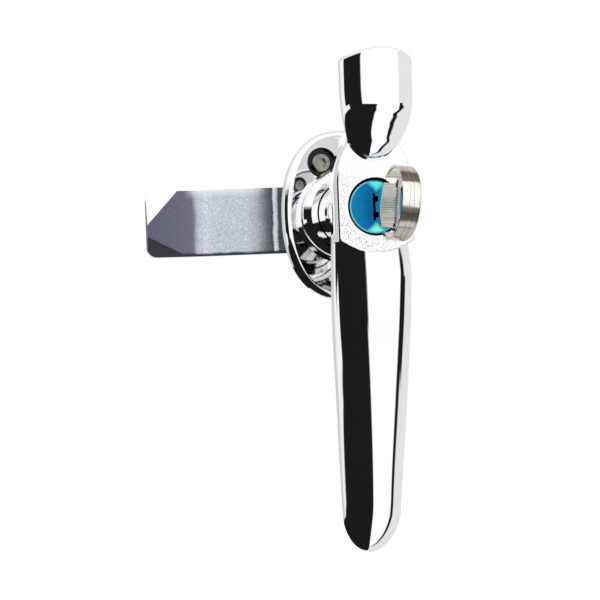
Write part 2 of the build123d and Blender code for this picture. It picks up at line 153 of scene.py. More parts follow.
def mat_chrome(name="chrome", kind="plain"):
    m, nt, b = new_mat(name)
    v = coords(nt)
    sep = node(nt, "ShaderNodeSeparateXYZ")
    nt.links.new(v, sep.inputs[0])
    f = noise(nt, v, 60.0, 2.0)
    col = ramp(nt, f, [(0.3, (0.90, 0.905, 0.915)), (0.7, (0.95, 0.955, 0.96))])
    if kind == "handle":
        # dark speckles in a ring around the core on the front of the plate, denser towards the left and the bottom of
        # the plate
        d = dist_to(nt, v, (0, 0))
        near = math2(nt, "MULTIPLY", rng(nt, d, 0.0, 1.0, 0.0100, 0.0112), rng(nt, d, 1.0, 0.0, 0.0135, 0.0185))
        front = rng(nt, sep.outputs["Y"], 1.0, 0.0, -0.03995, -0.03985)
        side = math2(nt, "ADD", math2(nt, "MULTIPLY", sep.outputs["X"], -1.0), math2(nt, "MULTIPLY", sep.outputs["Z"], -0.7))
        mask = math2(nt, "MULTIPLY", math2(nt, "MULTIPLY", near, front), rng(nt, side, 0.15, 1.0, -0.004, 0.010))
        vs = coords(nt, (1.0, 1.0, 0.55))
        sp = noise(nt, vs, 2600.0, 4.0, 0.65)
        dark = rng(nt, sp, 1.0, 0.0, 0.40, 0.455)
        mix = node(nt, "ShaderNodeMix", data_type="RGBA")
        nt.links.new(math2(nt, "MULTIPLY", mask, dark), mix.inputs["Factor"])
        nt.links.new(col, mix.inputs["A"])
        mix.inputs["B"].default_value = (0.22, 0.22, 0.24, 1)
        col = mix.outputs["Result"]
    if kind == "base":
        # painted shade: the screw pockets are darkened to near black in the base colour
        d = math2(nt, "MINIMUM", dist_to(nt, v, (-7.1, 18.3)), dist_to(nt, v, (7.1, -18.3)))
        deep = math2(nt, "MULTIPLY", rng(nt, d, 1.0, 0.0, 0.00525, 0.0054), rng(nt, sep.outputs["Y"], 0.0, 1.0, -0.0033, -0.0029))
        deep = math2(nt, "MULTIPLY", deep, rng(nt, sep.outputs["Y"], 1.0, 0.0, -0.0004, -0.0002))
        mix = node(nt, "ShaderNodeMix", data_type="RGBA")
        nt.links.new(deep, mix.inputs["Factor"])
        nt.links.new(col, mix.inputs["A"])
        mix.inputs["B"].default_value = (0.035, 0.035, 0.035, 1)
        col = mix.outputs["Result"]
    nt.links.new(col, b.inputs["Base Color"])
    b.inputs["Metallic"].default_value = 1.0
    f2 = noise(nt, v, 350.0, 3.0)
    nt.links.new(rng(nt, f2, 0.02, 0.05), b.inputs["Roughness"])
    return m


def mat_simple(name, c0, c1, metallic, r0, r1, scale=400.0, bump_s=0.0, bump_scale=1500.0, vec_scale=(1, 1, 1)):
    m, nt, b = new_mat(name)
    v = coords(nt, vec_scale)
    f = noise(nt, v, scale, 4.0, 0.6)
    nt.links.new(ramp(nt, f, [(0.3, c0), (0.7, c1)]), b.inputs["Base Color"])
    b.inputs["Metallic"].default_value = metallic
    nt.links.new(rng(nt, f, r0, r1), b.inputs["Roughness"])
    if bump_s:
        bump(nt, b, noise(nt, v, bump_scale, 3.0), bump_s)
    return m


CHROME = mat_chrome()
CHROME_HANDLE = mat_chrome("chrome_handle", "handle")
CHROME_BASE = mat_chrome("chrome_base", "base")
def mat_blue():
    """metallic blue coating with painted light: deeper blue towards the middle and teal to the right as painted
    reflection, a painted highlight on the turned edge, which is also rougher, and painted shadow in the gap
    """
    m, nt, b = new_mat("core_blue")
    v = coords(nt)
    sep = node(nt, "ShaderNodeSeparateXYZ")
    nt.links.new(v, sep.inputs[0])
    f = noise(nt, v, 220.0, 3.0, 0.6)
    add = node(nt, "ShaderNodeMath", operation="MULTIPLY_ADD")
    nt.links.new(f, add.inputs[0])
    add.inputs[1].default_value = 0.22
    nt.links.new(rng(nt, sep.outputs["X"], 0.0, 1.0, -0.0095, 0.0075), add.inputs[2])
    # painted reflection: over its own blue, the face goes teal and lighter towards the right
    face = ramp(nt, add.outputs[0], [(0.10, srgb(20, 128, 176)), (0.45, srgb(18, 112, 164)), (0.62, srgb(14, 92, 146)),
                                     (0.80, srgb(22, 128, 160)), (1.0, srgb(70, 170, 186))])
    # painted highlight: the turned edge ring is light cyan; it is also less metallic and rougher
    d = dist_to(nt, v, (0.3, 0.0))
    edge = rng(nt, d, 0.0, 1.0, 0.00815, 0.0083)
    col = face

    def wedge(x0, sign):
        w = math2(nt, "MULTIPLY", math2(nt, "ABSOLUTE", math2(nt, "ADD", sep.outputs["X"], -x0 * MM), 0.0), 0.85)
        return math2(nt, "SUBTRACT", w, math2(nt, "ADD", math2(nt, "MULTIPLY", sep.outputs["Z"], sign), -0.0058))
    # painted reflections: two darker blue smudges on the left and two mint wedges on the right of the face
    painted_reflection_marks = [(dist_to(nt, v, (-2.4, 2.0)), 0.0, 0.0030, srgb(14, 92, 128), 0.55), (dist_to(nt, v, (-2.2, -2.4)), 0.0, 0.0028, srgb(14, 84, 122), 0.55),
             (wedge(1.0, 1.0), -0.0008, 0.0012, srgb(104, 240, 232), 0.85), (wedge(0.4, -1.0), -0.0008, 0.0012, srgb(140, 250, 222), 0.85)]
    for dd, r0, r1, c, k in painted_reflection_marks:
        mx = node(nt, "ShaderNodeMix", data_type="RGBA")
        nt.links.new(rng(nt, dd, k, 0.0, r0, r1), mx.inputs["Factor"])
        nt.links.new(col, mx.inputs["A"])
        mx.inputs["B"].default_value = (*c, 1)
        col = mx.outputs["Result"]
    mix = node(nt, "ShaderNodeMix", data_type="RGBA")
    nt.links.new(edge, mix.inputs["Factor"])
    nt.links.new(col, mix.inputs["A"])
    nt.links.new(ramp(nt, f, [(0.3, srgb(70, 206, 232)), (0.7, srgb(112, 226, 242))]), mix.inputs["B"])
    # painted shadow: a near-black ring at the outer rim stands for the shaded gap around the core, with less specular
    rim = rng(nt, d, 0.0, 1.0, 0.00868, 0.00876)
    mx = node(nt, "ShaderNodeMix", data_type="RGBA")
    nt.links.new(rim, mx.inputs["Factor"])
    nt.links.new(mix.outputs["Result"], mx.inputs["A"])
    mx.inputs["B"].default_value = (*srgb(6, 10, 18), 1)
    nt.links.new(mx.outputs["Result"], b.inputs["Base Color"])
    nt.links.new(rng(nt, edge, 1.0, 0.1), b.inputs["Metallic"])
    nt.links.new(math2(nt, "MULTIPLY", rng(nt, rim, 0.5, 0.0), 1.0), b.inputs["Specular IOR Level"])
    nt.links.new(rng(nt, edge, 0.10, 0.55), b.inputs["Roughness"])
    return m


def mat_cap():
    """bright nickel, warm; the light and dark bands across the turned outer wall, along the hinge direction, are
    painted reflections
    """
    m, nt, b = new_mat("cap_nickel")
    v = coords(nt)
    ph = math.radians(6.0)
    dot = node(nt, "ShaderNodeVectorMath", operation="DOT_PRODUCT")
    nt.links.new(v, dot.inputs[0])
    dot.inputs[1].default_value = (math.sin(ph), 0, math.cos(ph))
    c = math2(nt, "SUBTRACT", dot.outputs["Value"], 0.0004)
    sep = node(nt, "ShaderNodeSeparateXYZ")
    nt.links.new(v, sep.inputs[0])
    hh = math2(nt, "ADD", sep.outputs["Y"], 0.0524)
    r = math2(nt, "SQRT", math2(nt, "ADD", math2(nt, "MULTIPLY", c, c), math2(nt, "MULTIPLY", hh, hh)), 0.0)
    outer = rng(nt, r, 0.0, 1.0, 0.01155, 0.01165)
    f = noise(nt, v, 260.0, 3.0, 0.6)
    cc = math2(nt, "ADD", c, math2(nt, "MULTIPLY", math2(nt, "SUBTRACT", f, 0.5), 0.0016))
    t = rng(nt, cc, 0.0, 1.0, -0.0125, 0.0125)

    def q(mm):
        return max((mm + 10.8) / 25.0, 0.0)
    # painted reflections: light and dark bands across the outer wall
    wall = ramp(nt, t, [(q(-12), srgb(176, 170, 160)), (q(-8.5), srgb(200, 195, 184)), (q(-5.6), srgb(196, 190, 180)),
                        (q(-4.6), srgb(96, 90, 82)), (q(-2.6), srgb(74, 69, 62)), (q(-0.9), srgb(120, 114, 104)),
                        (q(-0.2), srgb(236, 232, 224)), (q(3.5), srgb(250, 248, 242)), (q(7.2), srgb(244, 240, 232)),
                        (q(7.9), srgb(112, 105, 96)), (q(10.6), srgb(98, 91, 83)), (q(11.5), srgb(186, 180, 170)),
                        (q(12), srgb(204, 198, 188))])
    inner = ramp(nt, f, [(0.3, srgb(178, 172, 163)), (0.7, srgb(206, 201, 192))])
    mix = node(nt, "ShaderNodeMix", data_type="RGBA")
    nt.links.new(outer, mix.inputs["Factor"])
    nt.links.new(inner, mix.inputs["A"])
    nt.links.new(wall, mix.inputs["B"])
    nt.links.new(mix.outputs["Result"], b.inputs["Base Color"])
    b.inputs["Metallic"].default_value = 1.0
    nt.links.new(rng(nt, f, 0.10, 0.2), b.inputs["Roughness"])
    return m


def mat_cam():
    """zinc plated steel: fine crystal grain and a blue-grey passivation tint, with painted light: the dark end, light
    middle ramp, dark bend and its white line are painted reflections
    """
    m, nt, b = new_mat("cam_zinc")
    v = coords(nt)
    sep = node(nt, "ShaderNodeSeparateXYZ")
    nt.links.new(v, sep.inputs[0])
    grain = noise(nt, v, 1500.0, 4.0, 0.75)
    cloud = noise(nt, v, 160.0, 3.0, 0.6)
    fx = node(nt, "ShaderNodeMath", operation="MULTIPLY_ADD")
    nt.links.new(cloud, fx.inputs[0])
    fx.inputs[1].default_value = 0.03
    nt.links.new(rng(nt, sep.outputs["X"], 0.0, 1.0, -0.064, -0.014), fx.inputs[2])

    def q(x):
        return (x + 64.0) / 50.0 + 0.015
    # painted reflections along X: dark end, light middle ramp, dark bend with a white highlight line
    tone = ramp(nt, fx.outputs[0], [(q(-63.5), srgb(92, 92, 122)), (q(-56), srgb(98, 98, 116)), (q(-47.2), srgb(112, 110, 126)),
                                    (q(-45.6), srgb(190, 198, 210)), (q(-43), srgb(214, 222, 230)), (q(-38), srgb(202, 212, 219)),
                                    (q(-29), srgb(206, 215, 222)), (q(-25.5), srgb(182, 190, 198)), (q(-22.5), srgb(118, 122, 128)),
                                    (q(-20.2), srgb(72, 76, 84)), (q(-19.7), srgb(240, 242, 248)), (q(-18.6), srgb(236, 238, 246)),
                                    (q(-18.1), srgb(84, 90, 94)), (q(-14), srgb(96, 102, 104))])
    speck = ramp(nt, grain, [(0.30, g(0.62)), (0.50, g(1.0)), (0.60, g(1.06)), (0.68, g(1.9))])
    mul = node(nt, "ShaderNodeMix", data_type="RGBA", blend_type="MULTIPLY")
    mul.inputs["Factor"].default_value = 1.0
    nt.links.new(tone, mul.inputs["A"])
    nt.links.new(speck, mul.inputs["B"])
    gn = node(nt, "ShaderNodeTexCoord")
    sn = node(nt, "ShaderNodeSeparateXYZ")
    nt.links.new(gn.outputs["Normal"], sn.inputs[0])
    col = mul.outputs["Result"]
    zz = math2(nt, "ADD", sep.outputs["Z"], math2(nt, "MULTIPLY", math2(nt, "SUBTRACT", cloud, 0.5), 0.0012))
    # painted highlight: the upper part of the middle section is lightened
    lit = math2(nt, "MULTIPLY", rng(nt, zz, 0.0, 0.85, 0.0090, 0.0112), rng(nt, sep.outputs["X"], 0.0, 1.0, -0.050, -0.045))
    lit = math2(nt, "MULTIPLY", lit, rng(nt, sep.outputs["X"], 1.0, 0.0, -0.027, -0.022))
    # the first mix paints that highlight, the second paints shade along the bottom edge
    for fac, c in ((lit, srgb(240, 244, 248)), (rng(nt, zz, 1.0, 0.0, -0.01095, -0.0102), srgb(44, 44, 50))):
        mx = node(nt, "ShaderNodeMix", data_type="RGBA")
        nt.links.new(fac, mx.inputs["Factor"])
        nt.links.new(col, mx.inputs["A"])
        mx.inputs["B"].default_value = (*c, 1)
        col = mx.outputs["Result"]
    # painted light by facing: faces tilted up turn white as painted highlight, faces tilted down turn dark as painted
    # shade, faces turned steeply down go mid grey
    for lo, hi, c in ((0.05, 0.07, (1.0, 1.0, 1.0)), (-0.05, -0.07, srgb(48, 48, 52)), (-0.5, -0.52, srgb(168, 168, 170))):
        mx = node(nt, "ShaderNodeMix", data_type="RGBA")
        nt.links.new(rng(nt, sn.outputs["Z"], 0.0, 1.0, lo, hi), mx.inputs["Factor"])
        nt.links.new(col, mx.inputs["A"])
        mx.inputs["B"].default_value = (*c, 1)
        col = mx.outputs["Result"]
    nt.links.new(col, b.inputs["Base Color"])
    b.inputs["Metallic"].default_value = 0.45
    nt.links.new(rng(nt, cloud, 0.32, 0.46), b.inputs["Roughness"])
    bump(nt, b, grain, 0.35, 0.00008)
    return m


CAP = mat_cap()
BLUE = mat_blue()
ZINC = mat_cam()
STEEL = mat_simple("steel", srgb(150, 152, 156), srgb(185, 187, 190), 1.0, 0.25, 0.4, 500, 0.2, 1500)
SCREW = mat_simple("screw_steel", srgb(150, 146, 140), srgb(190, 186, 180), 1.0, 0.18, 0.3, 500, 0.15, 1500)
BRASS = mat_simple("brass", srgb(190, 155, 90), srgb(210, 178, 110), 1.0, 0.2, 0.35, 400, 0.15, 1200)
SLEEVE = mat_simple("core_sleeve", srgb(26, 23, 20), srgb(40, 36, 30), 0.6, 0.45, 0.6, 400, 0.15, 1200)
RUBBER = mat_simple("rubber", srgb(22, 22, 23), srgb(34, 34, 35), 0.0, 0.55, 0.75, 600, 0.3, 2500)
PLASTIC = mat_simple("bush_plastic", srgb(24, 24, 26), srgb(34, 34, 36), 0.0, 0.35, 0.5, 500, 0.15, 2500)

SLOT_MATS = {"chrome": CHROME, "cap_nickel": CAP, "core_blue": BLUE, "core_sleeve": SLEEVE, "wafer_brass": BRASS,
             "cam_zinc": ZINC, "steel": STEEL, "screw_steel": SCREW, "spring_steel": STEEL, "seal_rubber": RUBBER,
             "bush_plastic": PLASTIC}
for s in frame["record"]["subparts"]:
    o = NODES[s["node"]]
    o.data.materials.clear()
    o.data.materials.append(CHROME_BASE if s["node"] == "base" else SLOT_MATS[s["material_slot"]])


# ------------------------------------------------------------------ handle casting
def pchip(xs, ys):
    """smooth interpolation through the points, without overshoot"""
    xs, ys = np.array(xs, float), np.array(ys, float)
    h = np.diff(xs)
    d = np.diff(ys) / h
    m = np.zeros_like(ys)
    for i in range(1, len(xs) - 1):
        if d[i - 1] * d[i] > 0:
            w1, w2 = 2 * h[i] + h[i - 1], h[i] + 2 * h[i - 1]
            m[i] = (w1 + w2) / (w1 / d[i - 1] + w2 / d[i])
    m[0], m[-1] = d[0], d[-1]

    def f(x):
        x = min(max(x, xs[0]), xs[-1])
        i = int(min(max(np.searchsorted(xs, x) - 1, 0), len(h) - 1))
        t = (x - xs[i]) / h[i]
        return float((2 * t**3 - 3 * t**2 + 1) * ys[i] + (t**3 - 2 * t**2 + t) * h[i] * m[i]
                     + (-2 * t**3 + 3 * t**2) * ys[i + 1] + (t**3 - t**2) * h[i] * m[i + 1])
    return f


def mesh_from(name, verts, faces):
    """verts in mm as (x, h, z): h is the height out of the door"""
    me = bpy.data.meshes.new(name)
    me.from_pydata([(x * MM, -h * MM, z * MM) for x, h, z in verts], [], faces)
    bm = bmesh.new()
    bm.from_mesh(me)
    bmesh.ops.remove_doubles(bm, verts=bm.verts, dist=1e-7)
    bmesh.ops.recalc_face_normals(bm, faces=bm.faces)
    bm.to_mesh(me)
    bm.free()
    ob = bpy.data.objects.new(name, me)
    bpy.context.scene.collection.objects.link(ob)
    return ob


def bar_section(crest, w, base, back, r, n):
    """front half ellipse from the side at height base up to the crest, and the flat back with round corners, at the same x"""
    front, rear = [], []
    r = min(r, w * 0.6, max(base - back, 0.01))
    for i in range(n + 1):
        t = math.pi * i / n
        x = -w * math.cos(t)
        front.append((x, base + (crest - base) * math.sin(t)))
        e = abs(x) - (w - r)
        rear.append((x, back + (r - math.sqrt(max(r * r - e * e, 0.0)) if e > 0 else 0.0)))
    return front, rear


def bar_mesh(name, rows, n):
    """rows of (front, rear, z of each point), joined to one closed bar"""
    verts, faces = [], []
    m = 2 * (n + 1)
    for front, rear, zs in rows:
        verts += [(x, h, zs[i]) for i, (x, h) in enumerate(front)]
        verts += [(x, h, zs[i]) for i, (x, h) in enumerate(rear)]
    for j in range(len(rows) - 1):
        a, b = j * m, (j + 1) * m
        for i in range(n):
            faces.append((a + i, a + i + 1, b + i + 1, b + i))
            faces.append((a + n + 1 + i, b + n + 1 + i, b + n + 2 + i, a + n + 2 + i))
        faces.append((a, b, b + n + 1, a + n + 1))
        faces.append((a + n, a + 2 * n + 1, b + 2 * n + 1, b + n))
    for a in (0, (len(rows) - 1) * m):
        for i in range(n):
            faces.append((a + i, a + n + 1 + i, a + n + 2 + i, a + i + 1))
    return mesh_from(name, verts, faces)


def horn_mesh():
    zc = [14.6, 15.4, 16.5, 18, 20, 21.2, 22.6, 25, 28, 30.2, 32.5, 38, 44, 52]
    crest = pchip(zc, [40.0, 41.6, 43.1, 44.6, 46.3, 47.1, 48.1, 49.9, 52.1, 53.4, 53.72, 53.83, 54.0, 54.35])
    base = pchip([14, 21.2, 22.6, 25, 29, 33, 38, 52], [40, 40.2, 41.2, 42.4, 43.5, 44.0, 44.1, 44.4])
    back = pchip([14, 20.8, 22.6, 25, 29, 33, 38, 52], [38, 38.4, 40.6, 41.6, 42.7, 43.2, 43.3, 43.6])

    def width(z):
        return 12.3 if z >= 38 else 12.3 * max(1 - ((38 - z) / 23.4) ** 2.1, 0.0) ** (1 / 2.1)

    def top(x):
        return 50.4 - 28.9 + math.sqrt(28.9**2 - x * x)
    n, rows = 80, []
    zl = [14.6 + 0.05 * k**1.6 for k in range(1, 40)]
    zl = [z for z in zl if z < 21] + [21 + 0.4 * k for k in range(43)]
    for z in zl:
        f, r = bar_section(crest(z), width(z), base(z), back(z), 0.8, n)
        rows.append((f, r, [z] * (n + 1)))
    bev = 0.9
    for k in range(1, 9):                                   # straight up to the round of the end
        f, r = bar_section(53.83, 12.3, 44.1, 43.3, 0.8, n)
        zs = [38 + (top(x) - bev - 38) * k / 8 for x, _ in f]
        f = [(x, base(z) + (crest(z) - base(z)) * math.sin(math.pi * i / n)) for i, ((x, _), z) in enumerate(zip(f, zs))]
        r = [(x, h + back(z) - 43.3) for (x, h), z in zip(r, zs)]
        rows.append((f, r, zs))
    f0, r0, _ = rows[-1]
    for k in range(1, 7):                                   # round of the end
        t = math.radians(90 * k / 6)
        d = bev * (1 - math.cos(t))
        s = (12.3 - d) / 12.3
        f = [(x * s, h - d * math.sin(math.pi * i / n)) for i, (x, h) in enumerate(f0)]
        r = [(x * s, min(h + d * 0.6, f[i][1] - 0.01)) for i, (x, h) in enumerate(r0)]
        rows.append((f, r, [top(x) - bev + bev * math.sin(t) for x, _ in f]))
    return bar_mesh("horn_part", rows, n)


def grip_mesh():
    wf = pchip([-116, -97, -80, -64, -49, -34, -20, -9], [8.6, 9.65, 10.55, 11.4, 12.2, 12.8, 13.02, 13.0])
    bf = pchip([-116, -104, -97, -64, -34, -15, -9], [18.5, 18.5, 18.9, 23.3, 26.5, 29.0, 29.8])
    rf = pchip([-116, -97, -64, -34, -15, -9], [0.85, 0.83, 0.80, 0.727, 0.72, 0.72])

    def crest(z):
        dz = -15 - z
        c = 39 - 0.0652 * dz - 0.000543 * dz * dz
        if z < -98:
            t = min((-98 - z) / 17.2, 1.0)
            c -= 8.5 * (1 - math.sqrt(1 - t * t))
        return c

    def width(z):
        w = wf(z)
        if z < -102:
            t = min((-102 - z) / 12.6, 1.0)
            w *= math.sqrt(1 - t * t)
        return w
    n, rows = 80, []
    zl = [-9 - 1.0 * k for k in range(89)] + [-97.5 - 0.4 * k for k in range(36)]
    z = -111.6
    while z > -114.55:
        zl.append(z)
        z -= max(0.03, ( -114.6 - z) * -0.16)
    for z in sorted(set(zl), reverse=True):
        c, w, b = crest(z), width(z), bf(z)
        base = c - rf(z) * (c - b)
        k = 0.6 * min(max((-z - 12) / 10, 0.0), 1.0) * min(max((z + 114.6) / 12, 0.0), 1.0)
        f, r = bar_section(c, w + k, base, b, 1.0, n)
        rows.append(([(x + k, h) for x, h in f], [(x + k, h) for x, h in r], [z] * (n + 1)))
    return bar_mesh("grip_part", rows, n)


def head_mesh():
    pts = []
    for i in range(161):
        t = math.pi * i / 160
        pts.append((13.0 * math.cos(t), 7.0 + 18.6 * math.sin(t)))
    for k in range(1, 19):
        pts.append((-13.0, 7.0 - 18.2 * k / 18))
    # low arc through (-13, -11.2), (0, -15.1), (13, -11.2)
    s = 3.9
    R = (13.0**2 + s * s) / (2 * s)
    for k in range(1, 61):
        x = -13.0 + 26.0 * k / 60
        pts.append((x, -15.1 + R - math.sqrt(R * R - x * x)))
    for k in range(1, 18):
        pts.append((13.0, -11.2 + 18.2 * k / 18))
    n = len(pts)

    def inset(d):
        out = []
        for i in range(n):
            ax, az = pts[i - 1]
            bx, bz = pts[i]
            cx, cz = pts[(i + 1) % n]
            n1 = Vector((-(bz - az), bx - ax)).normalized()
            n2 = Vector((-(cz - bz), cx - bx)).normalized()
            m = (n1 + n2).normalized()
            k = d / max(m.dot(n1), 0.3)
            out.append((bx + m.x * k, bz + m.y * k))
        return out
    verts, faces, levels = [], [], []
    r = 1.0
    for h, d in [(30.5, 0.4), (30.62, 0.12), (30.9, 0.0)] + [(40 - r + r * math.sin(math.radians(a)), r * (1 - math.cos(math.radians(a)))) for a in range(0, 91, 10)]:
        levels.append((h, inset(d)))
    for h, p in levels:
        verts += [(x, h, z) for x, z in p]
    for j in range(len(levels) - 1):
        for i in range(n):
            a, b = j * n + i, j * n + (i + 1) % n
            faces.append((a, b, b + n, a + n))
    faces.append(tuple(range(n)))
    faces.append(tuple(range((len(levels) - 1) * n, len(levels) * n)))
    return mesh_from("head_part", verts, faces)


def lathe(name, prof, n=128):
    """closed profile of (r, h) turned about the spindle axis, first and last points on the axis"""
    verts, faces = [(0, prof[0][1], 0), (0, prof[-1][1], 0)], []
    rings = prof[1:-1]
    for r, h in rings:
        verts += [(r * math.cos(2 * math.pi * i / n), h, r * math.sin(2 * math.pi * i / n)) for i in range(n)]
    for j in range(len(rings) - 1):
        for i in range(n):
            a, b = 2 + j * n + i, 2 + j * n + (i + 1) % n
            faces.append((a, b, b + n, a + n))
    for i in range(n):
        faces.append((0, 2 + i, 2 + (i + 1) % n))
        k = 2 + (len(rings) - 1) * n
        faces.append((1, k + (i + 1) % n, k + i))
    return mesh_from(name, verts, faces)


PHI = math.radians(6.0)
E1, E2, E3 = Vector((math.cos(PHI), 0, -math.sin(PHI))), Vector((math.sin(PHI), 0, math.cos(PHI))), Vector((0, -1, 0))
PIN = E1 * 5.8 + E2 * 0.4 + E3 * 44.9


def pin_prism(name, outline, y0, y1):
    """outline in the plane across the hinge pin (x along E1, y outwards), from y0 to y1 along the pin"""
    verts = []
    for y in (y0, y1):
        for a, b in outline:
            p = PIN + E1 * a + E3 * b + E2 * y
            verts.append((p.x, -p.y, p.z))
    n = len(outline)
    faces = [tuple(range(n)), tuple(range(n, 2 * n))] + [(i, (i + 1) % n, n + (i + 1) % n, n + i) for i in range(n)]
    return mesh_from(name, verts, faces)


def block(name, x0, x1, h0, h1, z0, z1):
    v = [(x, h, z) for x in (x0, x1) for h in (h0, h1) for z in (z0, z1)]
    return mesh_from(name, v, [(0, 1, 3, 2), (4, 6, 7, 5), (0, 4, 5, 1), (2, 3, 7, 6), (0, 2, 6, 4), (1, 5, 7, 3)])


def upright(name, r, x, h, z0, z1, n=40):
    v = [(x + r * math.cos(2 * math.pi * i / n), h + r * math.sin(2 * math.pi * i / n), z) for z in (z0, z1) for i in range(n)]
    f = [tuple(range(n)), tuple(range(n, 2 * n))] + [(i, (i + 1) % n, n + (i + 1) % n, n + i) for i in range(n)]
    return mesh_from(name, v, f)


def boolean(target, others, op):
    for o in others:
        m = target.modifiers.new("b", "BOOLEAN")
        m.operation = op
        m.solver = "EXACT"
        m.object = o
    dg = bpy.context.evaluated_depsgraph_get()
    dg.update()
    me = bpy.data.meshes.new_from_object(target.evaluated_get(dg))
    target.modifiers.clear()
    old = target.data
    target.data = me
    bpy.data.meshes.remove(old)
    for o in others:
        d = o.data
        bpy.data.objects.remove(o)
        bpy.data.meshes.remove(d)


def smooth(ob, deg=32.0):
    me = ob.data
    for p in me.polygons:
        p.use_smooth = True
    bm = bmesh.new()
    bm.from_mesh(me)
    bmesh.ops.remove_doubles(bm, verts=bm.verts, dist=2e-7)
    bmesh.ops.dissolve_degenerate(bm, edges=bm.edges, dist=2e-7)
    lim = math.radians(deg)
    for e in bm.edges:
        e.smooth = not (len(e.link_faces) == 2 and e.calc_face_angle(0.0) > lim)
    bm.to_mesh(me)
    bm.free()


def build_handle():
    head = head_mesh()
    lug = [(0.75, -7.0), (2.1, -7.0)] + [(0.9 * math.cos(math.radians(a)), 0.9 * math.sin(math.radians(a))) for a in range(8, 173, 12)]
    hub = lathe("hub_part", [(0, -6.6), (7.7, -6.6), (8, -6.3), (8, 4), (11.2, 4), (11.2, 8.3), (9.9, 8.3), (9.9, 9.9), (11.2, 9.9), (11.2, 32), (0, 32)])
    adds = [horn_mesh(), grip_mesh(), hub]
    boolean(head, adds, "UNION")
    ring = [(6.4 * math.cos(math.radians(a)), 6.4 * math.sin(math.radians(a))) for a in range(0, 360, 4)]
    cuts = [lathe("bore_cut", [(0, 14.6), (9.6, 14.6), (9.6, 60), (0, 60)]),
            lathe("drive_cut", [(0, 5.0), (4.0, 5.0), (4.0, 15.0), (0, 15.0)], 48),
            pin_prism("cap_cut", ring, -8.9, 8.9),
            block("bolt_cut", -4.75, 4.75, 4.8, 8.0, -12.0, 5.8),
            block("socket_cut", -4, 4, -7.0, -1.0, -4, 4),
            upright("screw_cut", 1.5, 0, 24, -12.5, -8)]
    boolean(head, cuts, "DIFFERENCE")
    for nm, y in (("hinge_lug_upper", 7.5), ("hinge_lug_lower", -8.5)):
        lg = pin_prism(nm, lug, y, y + 1.0)
        bm = bmesh.new()
        bm.from_mesh(lg.data)
        bmesh.ops.bevel(bm, geom=list(bm.edges), offset=0.00008, segments=2, affect="EDGES")
        bm.to_mesh(lg.data)
        bm.free()
        smooth(lg)
        lg.data.materials.append(CAP)
        lg.visible_glossy = False
        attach(lg, "handle")
    smooth(head)
    head.name = "handle_casting"
    head.data.name = "handle_casting"
    head.data.materials.append(CHROME_HANDLE)
    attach(head, "handle")
    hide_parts("handle")
    return head


build_handle()


# ------------------------------------------------------------------ dust cap details
def cap_point(a, b, c):
    """the open cap: a along E1 (from rim to roof), b and c on the closed cap's own plane, b from the pin, c along it"""
    q = PIN + E1 * a - E3 * b + E2 * c
    return (q.x, -q.y, q.z)


def cap_ribs():
    """fine axial serration on the inner wall, left out where the hinge slots and the relief are"""
    verts, faces = [], []
    n = 128
    R = 11.3
    for i in range(n):
        t = 2 * math.pi * (i + 0.5) / n
        bx, cy = -7.5 + R * math.cos(t), R * math.sin(t)
        if bx > -1.6 and 6.9 < abs(cy) < 9.35:
            continue
        half = math.pi / n * 0.56
        k = len(verts)
        slant = 0.055
        for a, inn in ((-4.45, 0.0), (-4.3, 0.27), (0.35, 0.27), (0.6, 0.0)):
            sh = slant * (a + 4.45) / 5.0
            for d, rr in ((-half, R + 0.05), (0.0, R - inn), (half, R + 0.05)):
                u = t + d + sh
                verts.append(cap_point(a, -7.5 + rr * math.cos(u), rr * math.sin(u)))
        for j in range(3):
            p, q = k + 3 * j, k + 3 * j + 3
            faces += [(p, p + 1, q + 1, q), (p + 1, p + 2, q + 2, q + 1), (p + 2, p, q, q + 2)]
        faces += [(k, k + 2, k + 1), (k + 9, k + 10, k + 11)]
    ob = mesh_from("cap_ribs", verts, faces)
    smooth(ob, 20)
    ob.data.materials.append(CAP_IN)
    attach(ob, "cap")
    return ob


def cap_ring():
    """raised ring on the inside of the roof"""
    prof = [(9.4, 1.12), (9.25, 0.75), (8.9, 0.6), (8.55, 0.75), (8.4, 1.12)]
    n = 120
    verts, faces = [], []
    for i in range(n):
        t = 2 * math.pi * i / n
        for r, a in prof:
            verts.append(cap_point(a, -7.5 + r * math.cos(t), r * math.sin(t)))
    m = len(prof)
    for i in range(n):
        for j in range(m):
            p, q = i * m + j, i * m + (j + 1) % m
            pn, qn = ((i + 1) % n) * m + j, ((i + 1) % n) * m + (j + 1) % m
            faces.append((p, q, qn, pn))
    ob = mesh_from("cap_ring", verts, faces)
    smooth(ob, 40)
    ob.data.materials.append(CAP)
    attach(ob, "cap")
    return ob


def hinge_spring():
    """close wound spring around the hinge pin"""
    turns, rad, wire, n, m = 22, 0.72, 0.17, 26, 8
    verts, faces = [], []
    steps = turns * n
    for i in range(steps + 1):
        t = 2 * math.pi * i / n
        y = -5.4 + 10.8 * i / steps
        cx, cy = rad * math.cos(t), rad * math.sin(t)
        for j in range(m):
            u = 2 * math.pi * j / m
            rr = rad + wire * math.cos(u)
            q = PIN + E1 * (rr * math.cos(t)) + E3 * (rr * math.sin(t)) + E2 * (y + wire * math.sin(u))
            verts.append((q.x, -q.y, q.z))
    for i in range(steps):
        for j in range(m):
            a, b = i * m + j, i * m + (j + 1) % m
            faces.append((a, b, b + m, a + m))
    faces.append(tuple(range(m)))
    faces.append(tuple(range(steps * m, steps * m + m)))
    ob = mesh_from("hinge_spring", verts, faces)
    smooth(ob, 60)
    ob.data.materials.append(CAP)
    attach(ob, "handle")
    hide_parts("cap_spring")
    return ob


